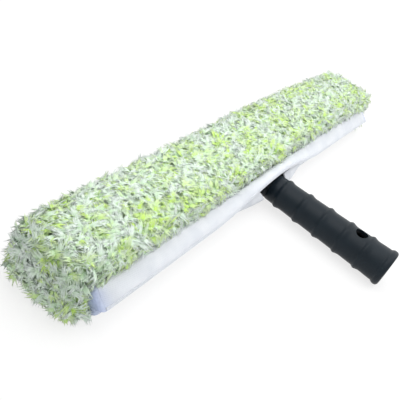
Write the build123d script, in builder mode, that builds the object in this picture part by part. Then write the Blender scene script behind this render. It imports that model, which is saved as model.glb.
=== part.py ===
# Window washer: a T-bar with a ribbed handle, and a pile sleeve wrapped round its crossbar.
# Millimetres. X runs along the crossbar, the handle points along -Y, +Z is up.
# The origin is on the surface the washer lies on, below the middle of the crossbar.
from build123d import *
import math
import os

os.makedirs("parts", exist_ok=True)

# Handle and grip, measured along the handle from the crossbar's middle
bead_radius = 16.6  # the end bead touches the surface, so it sets the handle's height
bead_width = 6.4
handle_reach = 147.6  # crossbar middle to the grip's end face
grip_start = 29.0
first_ring = 39.6
last_ring_from_end = 24.0
ring_count = 5
first_ring_radius = 13.8
last_ring_radius = 15.9
ring_height = 1.2
ring_width = 5.4
rubber_wall = 2.0
grip_lip = 1.0  # rubber that laps over the core's end

# Socket for an extension pole, and the hole for its catch
socket_radius = 10.4
socket_depth = 75.0
catch_radius = 5.5
catch_from_end = 33.6
seat_radius = 7.3  # seat for the socket screw, below the socket's floor
seat_depth = 4.6
bulkhead = 4.0

# Crossbar extrusion and its end caps
bar_length = 430.0
bar_depth = 45.0
bar_height = 15.0
bar_wall = 1.6
bar_web = 1.5
slot_length = 24.0
slot_width = 7.0
slot_pitch = 52.0
cap_thickness = 5.0
cap_plug = 12.0
cap_edge = 2.0
press_gap = 0.1  # between a plug, tongue or spigot and what it fits

# Neck hub and its screws
tongue_length = 60.0
tongue_depth = 19.5
neck_radius = 12.2
gusset_reach = 58.0
gusset_start = 19.0
gusset_rise = 7.6  # how far the gussets stand behind the crossbar beside the neck
gusset_thickness = 6.0
spigot_radius = 9.0
hub_screw_radius = 1.75
hub_screw_head = 3.1
hub_screw_half_angle = 41.0  # degrees
hub_screw_length = 11.0
hub_screw_pitch = 16.0
hub_screw_count = 4
socket_screw_radius = 2.5
socket_screw_head_radius = 4.6
socket_screw_head = 3.0
socket_screw_length = 30.0
washer_radius = 7.0
washer_thickness = 1.2
screw_gap = 0.05

# Sleeve: pocket for the crossbar, backing fabric and pile
pocket_below = 0.5
pocket_above = 3.0
pocket_front = 1.5
pocket_end = 1.5
pocket_corner = 7.0
mouth_back = 19.6  # the pocket's open back, behind the crossbar's middle
fabric = 1.2
lining_back = 25.6
pile_top = 18.0
pile_front = 18.7
pile_end = 18.3
top_front_corner = 20.0
low_front_corner = 17.0
top_back_corner = 8.0
low_back_corner = 4.0
pile_setback = 2.8  # from the pocket's open back to the start of the pile
clump_pitch = 19.0  # the tufts stand in clumps, about this far apart
clump_hollow = 3.0  # depth of the hollows between the clumps

# Flaps, hems and the hook-and-loop closure
flap_fabric = 1.0
upper_flap_width = 17.7
lower_flap_width = 23.2
hem_share = 0.7  # of a flap's last panel
hem_thickness = 0.5
tape_thickness = 1.2  # hook tape and loop tape alike
tape_end_gap = 12.0  # from the flap's end to the tape's end
sewn_gap = 0.3  # between a flap and the backing it is sewn to
lift_reach = 100.0  # the upper flap is lifted over the handle within this distance of the middle
tent_flat = 17.0  # the lower flap stands out over the gussets, fully up to here
tent_reach = 67.0  # and no longer from here
tent_steps = 6
notch_radius = 14.3
notch_start = 20.0

# How each flap runs from its seam, in shares of its width: outwards, then up
upper_closed_shares = (
    (0, 0), (0.14, 0), (0.21, -0.02), (0.475, -0.203), (0.65, -0.401), (0.723, -0.593)
)
upper_lifted_shares = ((0, 0), (0.14, 0), (0.17, 0.2), (0.34, 0.35), (0.576, 0.35), (0.695, 0.181))
lower_closed_shares = (
    (0, 0), (0.151, 0.009), (0.323, 0.147), (0.401, 0.362), (0.376, 0.558), (0.243, 0.709)
)
lower_tented_shares = (
    (0, 0), (0.23, 0), (0.534, 0.172), (0.685, 0.431), (0.599, 0.664), (0.47, 0.815)
)
tape_margin_share = 0.1  # of the panel that a tape is sewn on, left bare along both its edges

# Cuts run past their faces by this much
overrun = 2.0

# Derived sizes
mid = bead_radius  # height of the handle's axis and of the crossbar's middle
bar_half = bar_length / 2
bar_back = bar_depth / 2
slot_count = int(bar_length // slot_pitch)
cap_face = bar_half + cap_thickness
core_end = handle_reach - grip_lip
socket_floor = core_end - socket_depth
seat_floor = socket_floor - seat_depth
spigot_end = seat_floor - bulkhead
catch_place = handle_reach - catch_from_end
screw_row = bar_back - tongue_depth / 2
tongue_height = bar_height - 2 * (bar_wall + press_gap)
ring_pitch = (handle_reach - last_ring_from_end - first_ring) / (ring_count - 1)
ring_places = [first_ring + ring_pitch * i for i in range(ring_count)]
pocket_half = cap_face + pocket_end
lining_face = pocket_half + fabric
pocket_low = mid - bar_height / 2 - pocket_below
pocket_high = mid + bar_height / 2 + pocket_above
pocket_face = bar_back + pocket_front
backing_low = pocket_low - fabric
backing_high = pocket_high + fabric
backing_face = pocket_face + fabric
pile_back = mouth_back - pile_setback
pile_high = backing_high + pile_top
pile_face = backing_face + pile_front
seam_back = pile_back + sewn_gap
upper_seam = backing_high + sewn_gap + flap_fabric / 2
lower_seam = backing_low - sewn_gap - flap_fabric / 2


def ring_radius(place):
    """Radius over the rings, which grows evenly along the handle."""
    rise = (last_ring_radius - first_ring_radius) / (ring_places[-1] - ring_places[0])
    return first_ring_radius + rise * (place - first_ring)


def body_radius(place):
    """Radius of the grip between its rings."""
    return ring_radius(place) - ring_height


def core_radius(place):
    """Radius of the core's outside, which is the grip's inside."""
    return body_radius(place) - rubber_wall


def along_handle(place):
    """Plane across the handle at a distance from the crossbar's middle, facing the open end."""
    return Plane(origin=(0, -place, mid), x_dir=(1, 0, 0), z_dir=(0, -1, 0))


def across_bar(x):
    """Plane across the crossbar at x: its X is the object's Y, its Y is the height."""
    return Plane(origin=(x, 0, 0), x_dir=(0, 1, 0), z_dir=(1, 0, 0))


# Plane through the handle's axis: X along the handle, Y up from the axis
handle_section = Plane(origin=(0, 0, mid), x_dir=(0, -1, 0), z_dir=(-1, 0, 0))
handle_axis = Axis((0, 0, mid), (0, -1, 0))
under_bar = Plane(origin=(0, -screw_row, mid - bar_height / 2), z_dir=(0, 0, -1))
under_tongue = Plane(origin=(0, -screw_row, mid - tongue_height / 2), z_dir=(0, 0, -1))

# Crossbar: flat oval tube with one web, water slots and a mouth for the hub's tongue
with BuildPart() as crossbar:
    with BuildSketch(across_bar(-bar_half)):
        with Locations((0, mid)):
            SlotOverall(bar_depth, bar_height)
            SlotOverall(bar_depth - 2 * bar_wall, bar_height - 2 * bar_wall, mode=Mode.SUBTRACT)
            Rectangle(bar_web, bar_height - bar_wall)
    extrude(amount=bar_length)
    with BuildSketch(Plane.XY.offset(mid - bar_height)):
        with Locations((0, bar_back / 2)):
            with GridLocations(slot_pitch, slot_pitch, slot_count, 1):
                SlotOverall(slot_length, slot_width)
    extrude(amount=2 * bar_height, mode=Mode.SUBTRACT)
    with BuildSketch(Plane.XZ.offset(bar_back - bar_height / 2)):
        with Locations((0, mid)):
            Rectangle(tongue_length + 2 * press_gap, bar_height - 2 * bar_wall)
    extrude(amount=bar_height, mode=Mode.SUBTRACT)
    with Locations(under_bar):
        with GridLocations(hub_screw_pitch, hub_screw_pitch, hub_screw_count, 1):
            CounterSinkHole(
                hub_screw_radius + screw_gap,
                hub_screw_head + screw_gap,
                bar_wall + overrun,
                2 * hub_screw_half_angle,
            )


def end_cap(side):
    """Rounded plate on one end of the crossbar, with a plug in each of its chambers."""
    face = Plane(origin=(side * bar_half, 0, mid), x_dir=(0, 1, 0), z_dir=(side, 0, 0))
    inset = 2 * (bar_wall + press_gap)
    with BuildPart() as cap:
        with BuildSketch(face):
            SlotOverall(bar_depth, bar_height)
        extrude(amount=cap_thickness)
        outer_face = cap.faces().sort_by(Axis((0, 0, 0), (side, 0, 0)))[-1]
        fillet(outer_face.edges(), cap_edge)
        with BuildSketch(face):
            SlotOverall(bar_depth - inset, bar_height - inset)
            Rectangle(bar_web + 2 * press_gap, bar_height, mode=Mode.SUBTRACT)
        extrude(amount=-cap_plug)
    return cap


end_cap_left = end_cap(-1)
end_cap_right = end_cap(1)

# Neck hub: tongue in the crossbar, neck, two gussets and the spigot inside the handle
gusset_back = bar_back + press_gap
with BuildPart() as neck_hub:
    with BuildSketch(Plane.XZ.offset(bar_back - tongue_depth)):
        with Locations((0, mid)):
            Rectangle(tongue_length, tongue_height)
    extrude(amount=tongue_depth + overrun)
    with BuildSketch(along_handle(gusset_back)):
        RectangleRounded(2 * neck_radius, bar_height, bar_height / 3)
    with BuildSketch(along_handle(grip_start)):
        Circle(neck_radius)
    loft()
    with BuildSketch(Plane.XY.offset(mid - gusset_thickness / 2)):
        with BuildLine():
            Polyline(
                (-gusset_reach, -gusset_back),
                (-gusset_start, -gusset_back - gusset_rise),
                (gusset_start, -gusset_back - gusset_rise),
                (gusset_reach, -gusset_back),
                close=True,
            )
        make_face()
    extrude(amount=gusset_thickness)
    # The gussets end flush with the neck in front of the grip
    with BuildSketch(along_handle(grip_start)):
        Circle(gusset_start - press_gap)
    extrude(amount=gusset_rise, mode=Mode.SUBTRACT)
    with BuildSketch(along_handle(bar_back)):
        Circle(spigot_radius)
    extrude(amount=spigot_end - press_gap - bar_back)
    with BuildSketch(along_handle(spigot_end)):
        Circle(socket_screw_radius + screw_gap)
    extrude(amount=-socket_screw_length, mode=Mode.SUBTRACT)
    with Locations(under_tongue):
        with GridLocations(hub_screw_pitch, hub_screw_pitch, hub_screw_count, 1):
            Hole(hub_screw_radius + screw_gap, hub_screw_length)

# Hub screws: countersunk, driven up from below, all four in one node
with BuildPart() as hub_screws:
    head_height = (hub_screw_head - hub_screw_radius) / math.tan(math.radians(hub_screw_half_angle))
    drive = hub_screw_head / 3
    standing = (Align.CENTER, Align.CENTER, Align.MIN)
    with Locations((0, -screw_row, mid - bar_height / 2)):
        with GridLocations(hub_screw_pitch, hub_screw_pitch, hub_screw_count, 1):
            Cone(hub_screw_head, hub_screw_radius, head_height, align=standing)
            Cylinder(hub_screw_radius, hub_screw_length, align=standing)
            Box(3 * drive, drive / 2, drive, mode=Mode.SUBTRACT)
            Box(drive / 2, 3 * drive, drive, mode=Mode.SUBTRACT)

# Handle core: tapered tube with the spigot's bore, a bulkhead, the screw's seat and the pole socket
with BuildPart() as handle_core:
    with BuildSketch(handle_section):
        with BuildLine():
            Polyline(
                (grip_start, spigot_radius + press_gap),
                (grip_start, core_radius(grip_start)),
                (core_end, core_radius(core_end)),
                (core_end, socket_radius),
                (socket_floor, socket_radius),
                (socket_floor, seat_radius),
                (seat_floor, seat_radius),
                (seat_floor, socket_screw_radius + press_gap),
                (spigot_end, socket_screw_radius + press_gap),
                (spigot_end, spigot_radius + press_gap),
                close=True,
            )
        make_face()
    revolve(axis=handle_axis)
    with BuildSketch(Plane.XY.offset(mid)):
        with Locations((0, -catch_place)):
            Circle(catch_radius)
    extrude(amount=2 * bead_radius, mode=Mode.SUBTRACT)

# Socket screw and washer: pull the core onto the spigot, reached from inside the socket
with BuildPart() as socket_washer:
    with BuildSketch(along_handle(seat_floor)):
        Circle(washer_radius)
        Circle(socket_screw_radius + press_gap, mode=Mode.SUBTRACT)
    extrude(amount=washer_thickness)

screw_seat = seat_floor + washer_thickness
with BuildPart() as socket_screw:
    with BuildSketch(along_handle(screw_seat)):
        Circle(socket_screw_head_radius)
    extrude(amount=socket_screw_head)
    fillet(socket_screw.faces().sort_by(Axis.Y)[0].edges(), socket_screw_head / 3)
    with BuildSketch(along_handle(screw_seat)):
        Circle(socket_screw_radius)
    extrude(amount=-socket_screw_length)
    with BuildSketch(along_handle(screw_seat + socket_screw_head)):
        RegularPolygon(socket_screw_radius, 6)
    extrude(amount=-socket_screw_head / 2, mode=Mode.SUBTRACT)

# Grip: rubber sleeve with bamboo-like rings and a bead round its open end
with BuildPart() as grip:
    with BuildSketch(handle_section):
        with BuildLine():
            start = (grip_start, body_radius(grip_start))
            at = start
            for place in ring_places:
                foot = (place - ring_width / 2, body_radius(place - ring_width / 2))
                toe = (place + ring_width / 2, body_radius(place + ring_width / 2))
                Line(at, foot)
                ThreePointArc(foot, (place, ring_radius(place)), toe)
                at = toe
            bead_foot_radius = body_radius(handle_reach - bead_width)
            bead_foot = (handle_reach - bead_width, bead_foot_radius)
            bead_end = (handle_reach, bead_foot_radius)
            Line(at, bead_foot)
            ThreePointArc(bead_foot, (handle_reach - bead_width / 2, bead_radius), bead_end)
            Polyline(
                bead_end,
                (handle_reach, socket_radius),
                (core_end, socket_radius),
                (core_end, core_radius(core_end)),
                (grip_start, core_radius(grip_start)),
                start,
            )
        make_face()
    revolve(axis=handle_axis)
    with BuildSketch(Plane.XY.offset(mid)):
        with Locations((0, -catch_place)):
            Circle(catch_radius)
    extrude(amount=2 * bead_radius, mode=Mode.SUBTRACT)


def pocket_outline(grow, mode=Mode.ADD):
    """Pocket outline, grown outwards by a thickness; its back end lies past the open back."""
    back = mouth_back + pocket_corner + grow
    face = pocket_face + grow
    with Locations(((face - back) / 2, (pocket_high + pocket_low) / 2)):
        RectangleRounded(
            face + back, pocket_high - pocket_low + 2 * grow, pocket_corner + grow, mode=mode
        )


def pile_outline(inset):
    """Pile outline: flat underside, rounded front, drawn in by an inset."""
    low, high, back, face = inset, pile_high - inset, inset - pile_back, pile_face - inset
    corners = (
        (1, 1, top_front_corner),
        (1, -1, low_front_corner),
        (-1, 1, top_back_corner),
        (-1, -1, low_back_corner),
    )
    with BuildSketch(mode=Mode.PRIVATE) as outline:
        with Locations(((face + back) / 2, (high + low) / 2)):
            Rectangle(face - back, high - low)
        for along, up, radius in corners:
            corner = outline.vertices().sort_by(lambda v: along * v.X + up * v.Y)[-1]
            fillet(corner, max(radius - inset, radius / 3))
    add(outline.sketch)


# Backing: base fabric wrapped over, in front of and under the crossbar
with BuildPart() as sleeve_backing:
    with BuildSketch(across_bar(-pocket_half)):
        pocket_outline(fabric)
        pocket_outline(0, Mode.SUBTRACT)
        with Locations((-mouth_back, mid)):
            Rectangle(bar_depth, 2 * pile_high, align=(Align.MAX, Align.CENTER), mode=Mode.SUBTRACT)
    extrude(amount=2 * pocket_half)


def end_lining(side):
    """Base fabric that closes one end of the pocket."""
    with BuildPart() as lining:
        with BuildSketch(across_bar(side * pocket_half)):
            with Locations(((backing_face - lining_back) / 2, (pocket_high + pocket_low) / 2)):
                RectangleRounded(
                    backing_face + lining_back,
                    backing_high - backing_low,
                    pocket_corner + fabric,
                )
        extrude(amount=side * fabric)
    return lining


end_lining_left = end_lining(-1)
end_lining_right = end_lining(1)

def clump_line():
    """Line over the pile's top and down its front, from the upper back corner to the underside."""
    with BuildLine(mode=Mode.PRIVATE) as line:
        Line((top_back_corner - pile_back, pile_high), (pile_face - top_front_corner, pile_high))
        TangentArc(
            (pile_face - top_front_corner, pile_high),
            (pile_face, pile_high - top_front_corner),
            tangent=(1, 0),
        )
        Line((pile_face, pile_high - top_front_corner), (pile_face, low_front_corner))
        TangentArc((pile_face, low_front_corner), (pile_face - low_front_corner, 0), tangent=(0, -1))
    return line.wire()


def clump_outline(line, steps, row, depth):
    """Pile outline in one row across the bar: every second step of the line is a hollow of that depth."""
    points = []
    for i in range(steps + 1):
        place = line @ (i / steps)
        way = line % (i / steps)
        drop = depth if 0 < i < steps and (i + row) % 2 else 0
        points.append((place.X + drop * way.Y, place.Y - drop * way.X))
    points += [(low_back_corner - pile_back, 0), (-pile_back, low_back_corner)]
    points.append((-pile_back, pile_high - top_back_corner))
    Polygon(*points, align=None)


# Pile over the top, front and underside: staggered clumps, with hollows between them
with BuildPart() as pile:
    over_front = clump_line()
    steps_over = 2 * round(over_front.length / clump_pitch)
    steps_along = 2 * round(2 * lining_face / clump_pitch)
    for row in range(steps_along + 1):
        depth = clump_hollow if 0 < row < steps_along else 0
        with BuildSketch(across_bar(lining_face * (2 * row / steps_along - 1))):
            clump_outline(over_front, steps_over, row, depth)
    loft(ruled=True)
    with BuildSketch(across_bar(-lining_face)):
        pocket_outline(fabric)
    extrude(amount=2 * lining_face, mode=Mode.SUBTRACT)


def end_pile(side):
    """Pile on one end of the sleeve, rounded off by sections that draw in along a quarter circle."""
    turns = (0, 10, 25, 40, 55, 70, 80)  # degrees
    with BuildPart() as tuft:
        for turn in turns:
            out = pile_end * math.sin(math.radians(turn)) / math.sin(math.radians(turns[-1]))
            inset = pile_end * (1 - math.cos(math.radians(turn)))
            with BuildSketch(across_bar(side * (lining_face + out))):
                pile_outline(inset)
        loft()
    return tuft


end_pile_left = end_pile(-1)
end_pile_right = end_pile(1)


def ease(share):
    """Eases from 1 down to 0 while the share grows from 0 to 1."""
    return (1 + math.cos(math.pi * min(max(share, 0), 1))) / 2


def between(first, last, share):
    """Point at a share of the way from the first point to the last."""
    return first + (last - first) * share


def flap_path(seam, width, closed_shares, raised_shares, raised):
    """Line that a flap follows behind the crossbar, between its closed and its raised run."""
    path = []
    for closed, up in zip(closed_shares, raised_shares):
        place = between(Vector(*closed), Vector(*up), raised)
        path.append(seam + Vector(-place.X, place.Y) * width)
    return path


def upper_path(x):
    """Upper flap's line at x: it lies over the grip's root and falls to both sides."""
    seam = Vector(-seam_back, upper_seam)
    raised = ease(abs(x) / lift_reach)
    return flap_path(seam, upper_flap_width, upper_closed_shares, upper_lifted_shares, raised)


def lower_path(x):
    """Lower flap's line at x: it stands out over the gussets beside the handle."""
    seam = Vector(-seam_back, lower_seam)
    raised = ease((abs(x) - tent_flat) / (tent_reach - tent_flat))
    return flap_path(seam, lower_flap_width, lower_closed_shares, lower_tented_shares, raised)


def hem_path(path):
    """Last stretch of a flap's line, which the hem covers."""
    return [between(path[-1], path[-2], hem_share), path[-1]]


def tape_path(before, after):
    """Line of a tape on the panel between two corners of a flap's line."""
    return [
        between(before, after, tape_margin_share),
        between(after, before, tape_margin_share),
    ]


def moved_sideways(path, distance):
    """A path moved to its left by a distance, with mitred corners."""
    ways = [(after - before).normalized() for before, after in zip(path, path[1:])]
    moved = []
    for place, point in enumerate(path):
        before = ways[max(place - 1, 0)]
        after = ways[min(place, len(ways) - 1)]
        middle = (before + after).normalized()
        moved.append(point + Vector(-middle.Y, middle.X) * (distance / middle.dot(after)))
    return moved


def strip(path_at, near, far, stations):
    """Strip of fabric between two distances from a path that changes along the crossbar."""
    with BuildPart() as piece:
        for x in stations:
            path = path_at(x)
            with BuildSketch(across_bar(x)):
                with BuildLine():
                    Polyline(*moved_sideways(path, near), *reversed(moved_sideways(path, far)), close=True)
                make_face()
        loft(ruled=True)
    return piece


flap_half = cap_face
tape_outer = flap_half - tape_end_gap
half_fabric = flap_fabric / 2
lift_steps = [lift_reach * i / tent_steps for i in range(-tent_steps, tent_steps + 1)]
upper_stations = [-flap_half, *lift_steps, flap_half]
tent_side = [tent_flat + (tent_reach - tent_flat) * i / tent_steps for i in range(tent_steps + 1)]
lower_stations = [-flap_half, *(-x for x in reversed(tent_side)), *tent_side, flap_half]

# Upper flap: the band along the sleeve's back, with a bound lower edge
upper_flap = strip(upper_path, -half_fabric, half_fabric, upper_stations)
upper_flap_hem = strip(
    lambda x: hem_path(upper_path(x)), -half_fabric - hem_thickness, -half_fabric, upper_stations
)


def hook_tape(side):
    """Hook tape on the upper flap's inside, where it meets the lower flap."""
    ends = (side * lift_reach, side * tape_outer)
    return strip(lambda x: tape_path(*upper_path(x)[3:5]), half_fabric, half_fabric + tape_thickness, ends)


def loop_tape(side):
    """Loop tape on the lower flap's outside, along its free edge."""
    ends = (side * lift_reach, side * tape_outer)
    return strip(lambda x: tape_path(*lower_path(x)[4:]), half_fabric, half_fabric + tape_thickness, ends)


hook_tape_left = hook_tape(-1)
hook_tape_right = hook_tape(1)
loop_tape_left = loop_tape(-1)
loop_tape_right = loop_tape(1)


def cut_notch():
    """Notch round the handle in the part being built, open towards the flap's free edge."""
    with BuildSketch(along_handle(notch_start)) as notch:
        Circle(notch_radius)
        Rectangle(2 * notch_radius, 2 * notch_radius, align=(Align.CENTER, Align.MIN))
    extrude(notch.sketch, amount=grip_start, mode=Mode.SUBTRACT)


# Lower flap: closes the pocket behind the crossbar, notched where the handle comes out
with BuildPart() as lower_flap:
    add(strip(lower_path, -half_fabric, half_fabric, lower_stations).part)
    cut_notch()

with BuildPart() as lower_flap_hem:
    inside = -half_fabric - hem_thickness
    add(strip(lambda x: hem_path(lower_path(x)), inside, -half_fabric, lower_stations).part)
    cut_notch()

pieces = {
    "crossbar": crossbar,
    "end_cap_left": end_cap_left,
    "end_cap_right": end_cap_right,
    "neck_hub": neck_hub,
    "hub_screws": hub_screws,
    "handle_core": handle_core,
    "socket_washer": socket_washer,
    "socket_screw": socket_screw,
    "grip": grip,
    "sleeve_backing": sleeve_backing,
    "end_lining_left": end_lining_left,
    "end_lining_right": end_lining_right,
    "pile": pile,
    "end_pile_left": end_pile_left,
    "end_pile_right": end_pile_right,
    "upper_flap": upper_flap,
    "upper_flap_hem": upper_flap_hem,
    "hook_tape_left": hook_tape_left,
    "hook_tape_right": hook_tape_right,
    "lower_flap": lower_flap,
    "lower_flap_hem": lower_flap_hem,
    "loop_tape_left": loop_tape_left,
    "loop_tape_right": loop_tape_right,
}
for name, piece in pieces.items():
    piece.part.label = name
    export_step(piece.part, f"parts/{name}.step")
    print(name, len(piece.solids()), round(piece.part.volume))
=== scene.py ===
# %% [markdown]
# A window washer is a T-bar with a shaggy sleeve. The sleeve soaks up water
# and rubs the glass, and its flaps close behind the bar so that it can be taken
# off and washed. Most rigid pieces come from the CAD model and only get their
# finishes here. The grip and the soft pieces are built below, in the CAD model's
# frame: metres, X along the crossbar, the handle along -Y, Z up, floor at zero.

import math
import random

import bmesh
import bpy
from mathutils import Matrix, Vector, noise


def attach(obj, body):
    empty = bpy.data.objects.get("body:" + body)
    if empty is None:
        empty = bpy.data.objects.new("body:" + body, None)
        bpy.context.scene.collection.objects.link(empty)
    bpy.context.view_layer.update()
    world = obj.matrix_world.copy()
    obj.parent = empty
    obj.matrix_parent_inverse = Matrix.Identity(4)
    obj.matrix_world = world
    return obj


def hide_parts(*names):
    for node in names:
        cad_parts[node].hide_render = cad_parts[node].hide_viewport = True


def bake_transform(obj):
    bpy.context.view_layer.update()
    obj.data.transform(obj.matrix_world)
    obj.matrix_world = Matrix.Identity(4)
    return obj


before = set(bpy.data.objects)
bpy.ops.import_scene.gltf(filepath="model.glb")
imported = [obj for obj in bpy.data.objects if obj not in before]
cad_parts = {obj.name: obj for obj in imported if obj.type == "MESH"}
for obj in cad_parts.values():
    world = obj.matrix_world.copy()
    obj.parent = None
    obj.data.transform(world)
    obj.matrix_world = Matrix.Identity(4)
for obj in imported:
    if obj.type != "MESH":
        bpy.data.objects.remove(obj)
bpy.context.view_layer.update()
mm = 0.001

# %% [markdown]
# The camera stands a little over half a metre away, beyond the left end of the bar,
# and is rolled so that the bar climbs from the lower left to the upper right.

# %% Camera
camera_place = (-0.4356, -0.1361, 0.3017)
camera_turn = (50.648, -19.584, -53.958)  # degrees
camera_data = bpy.data.cameras.new("camera")
camera_data.lens = 54
camera = bpy.data.objects.new("camera", camera_data)
camera.location = camera_place
camera.rotation_euler = [math.radians(turn) for turn in camera_turn]
bpy.context.scene.collection.objects.link(camera)
bpy.context.scene.camera = camera
print("camera", [round(v, 3) for v in camera.location])

# %% [markdown]
# Soft light from a large lamp above the far end gives the handle its long
# highlight, and leaves the near end in light shade. Two weaker lamps aim at the far
# end as well, one from the handle's side and one from above the pile.

# %% Lamps
def add_lamp(name, place, aim, size, power):
    """Square area lamp that points from its place at an aim."""
    data = bpy.data.lights.new(name, "AREA")
    data.size = size
    data.energy = power
    lamp = bpy.data.objects.new(name, data)
    lamp.location = place
    lamp.rotation_euler = (Vector(aim) - Vector(place)).to_track_quat("-Z", "Y").to_euler()
    bpy.context.scene.collection.objects.link(lamp)
    return lamp


lamps = (
    add_lamp("key_lamp", place=(0.5, 0.05, 0.6), aim=(0.05, 0, 0), size=1.6, power=7),
    add_lamp("top_lamp", place=(0.15, -0.25, 0.5), aim=(0.25, 0, 0), size=0.6, power=0.7),
    add_lamp("far_lamp", place=(-0.12, 0.02, 0.42), aim=(0.26, 0.02, 0.02), size=0.35, power=0.7),
)
print("lamps", [(lamp.name, round(lamp.data.energy, 2)) for lamp in lamps])

# %% [markdown]
# Each material is a small network of nodes. A few helpers keep those networks short:
# the first three add a node, take one of its outputs and start a material.

# %% Helpers for node networks
def add_node(tree, kind, sockets=None, **settings):
    """Adds a node, sets its properties, and fills its inputs with values or links."""
    node = tree.nodes.new(kind)
    for key, value in settings.items():
        setattr(node, key, value)
    for key, value in (sockets or {}).items():
        usable = [s for s in node.inputs if s.enabled]
        socket = usable[key] if isinstance(key, int) else next(s for s in usable if s.name == key)
        if isinstance(value, bpy.types.NodeSocket):
            tree.links.new(value, socket)
        else:
            socket.default_value = value
    return node


def result(node, name=None):
    """An output of a node: the named one, or the first that is in use."""
    usable = [s for s in node.outputs if s.enabled]
    return usable[0] if name is None else next(s for s in usable if s.name == name)


def new_material(name, **sockets):
    """A material with one Principled shader, and the constants set on its sockets."""
    material = bpy.data.materials.new(name)
    material.use_nodes = True
    shader = material.node_tree.nodes["Principled BSDF"]
    for key, value in sockets.items():
        shader.inputs[key.replace("_", " ")].default_value = value
    return material, material.node_tree, shader


def wire(tree, node, **outputs):
    """Links outputs to the node's inputs of those names."""
    for key, value in outputs.items():
        tree.links.new(value, node.inputs[key.replace("_", " ")])


# %% [markdown]
# The nodes that come up again and again each get a helper that gives their output:
# a sum, a blend of two values, a span moved to another span, clouds of noise, a bump,
# and a number that the mesh keeps at each point. Colours are written as seen on screen.

# %% Helpers for common nodes
def colour(red, green, blue):
    """A colour from its screen values, 0 to 255, as the linear values that shaders use."""
    parts = [v / 255 for v in (red, green, blue)]
    return (*[p / 12.92 if p <= 0.04045 else ((p + 0.055) / 1.055) ** 2.4 for p in parts], 1)


def calc(tree, operation, *values, clamp=False):
    """Output of a Math node."""
    sockets = dict(enumerate(values))
    node = add_node(tree, "ShaderNodeMath", sockets, operation=operation, use_clamp=clamp)
    return result(node)


def mix(tree, factor, a, b, kind="RGBA"):
    """Output of a Mix node: a where the factor is 0, and b where it is 1."""
    sockets = {"Factor": factor, "A": a, "B": b}
    return result(add_node(tree, "ShaderNodeMix", sockets, data_type=kind))


def remap(tree, value, source=(0, 1), target=(0, 1)):
    """Output of a Map Range node: the source's span becomes the target's, and stops there."""
    names = ("Value", "From Min", "From Max", "To Min", "To Max")
    sockets = dict(zip(names, (value, *source, *target)))
    return result(add_node(tree, "ShaderNodeMapRange", sockets))


def clouds(tree, where, scale, detail):
    """Output of a Noise Texture node."""
    sockets = {"Vector": where, "Scale": scale, "Detail": detail}
    return result(add_node(tree, "ShaderNodeTexNoise", sockets))


def bumped(tree, strength, distance, height):
    """Normal from a Bump node."""
    sockets = {"Strength": strength, "Distance": distance, "Height": height}
    return result(add_node(tree, "ShaderNodeBump", sockets))


def kept(tree, name):
    """A number that the mesh keeps under this name."""
    return result(add_node(tree, "ShaderNodeAttribute", attribute_name=name), "Fac")


def object_place(tree):
    """Place on the piece, in metres."""
    return result(add_node(tree, "ShaderNodeTexCoord"), "Object")


print("colour of paper white", [round(v, 2) for v in colour(255, 255, 255)])

# %% [markdown]
# Moulded rubber and plastic are never perfectly even: they have a fine grain
# and broad patches where they are duller. One group makes both for every moulded piece.

# %% Group: moulded grain
def new_group(name, inputs, outputs):
    """A shader node group with float or vector inputs and the named outputs."""
    group = bpy.data.node_groups.new(name, "ShaderNodeTree")
    for key, default in inputs.items():
        kind = "NodeSocketVector" if default is None else "NodeSocketFloat"
        socket = group.interface.new_socket(key, in_out="INPUT", socket_type=kind)
        if default is not None:
            socket.default_value = default
    for key in outputs:
        group.interface.new_socket(key, in_out="OUTPUT", socket_type="NodeSocketFloat")
    return group, add_node(group, "NodeGroupInput"), add_node(group, "NodeGroupOutput")


grain_group, given, wanted = new_group(
    "Moulded grain",
    {"Vector": None, "Grain size": 0.6 * mm, "Patch size": 20 * mm},
    ("Grain", "Patches"),
)
for size, output in (("Grain size", "Grain"), ("Patch size", "Patches")):
    scale = calc(grain_group, "DIVIDE", 1.0, result(given, size))
    wire(grain_group, wanted, **{output: clouds(grain_group, result(given, "Vector"), scale, 3.0)})
print("group", grain_group.name, len(grain_group.nodes))

# %% [markdown]
# Woven cloth: two sets of threads cross, and each thread is a low ridge.
# The group takes the cloth's own UV map in metres, so the threads follow the cloth
# round its bends. A slow noise adds the uneven look of washed fabric.

# %% Group: woven cloth
weave_group, given, wanted = new_group(
    "Woven cloth",
    {"Vector": None, "Thread": 0.7 * mm, "Patch size": 18 * mm},
    ("Height", "Patches"),
)
where = result(given, "Vector")
across = add_node(weave_group, "ShaderNodeSeparateXYZ", {0: where})
per_metre = calc(weave_group, "DIVIDE", math.pi, result(given, "Thread"))
ridges = [
    calc(weave_group, "SINE", calc(weave_group, "MULTIPLY", result(across, axis), per_metre))
    for axis in ("X", "Y")
]
crossing = calc(weave_group, "MULTIPLY", *ridges)
patch_scale = calc(weave_group, "DIVIDE", 1.0, result(given, "Patch size"))
wire(
    weave_group,
    wanted,
    Height=calc(weave_group, "MULTIPLY_ADD", crossing, 0.5, 0.5),
    Patches=clouds(weave_group, where, patch_scale, 4.0),
)
print("group", weave_group.name, len(weave_group.nodes))

# %% [markdown]
# The moulded materials share one recipe: a base colour that the patches lighten
# a little, roughness that varies with them, and a bump from the grain.

# %% Moulded rubber and plastic
def moulded(name, dark, light, roughness, grain_size, bump, shine):
    """Rubber or plastic as it comes from a mould."""
    material, tree, shader = new_material(name, Specular_IOR_Level=shine)
    sockets = {"Vector": object_place(tree), "Grain size": grain_size}
    grain = add_node(tree, "ShaderNodeGroup", sockets, node_tree=grain_group)
    patches = result(grain, "Patches")
    wire(
        tree,
        shader,
        Base_Color=mix(tree, patches, dark, light),
        Roughness=remap(tree, patches, target=(roughness - 0.06, roughness + 0.08)),
        Normal=bumped(tree, bump, 0.2 * mm, result(grain, "Grain")),
    )
    return material


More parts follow.
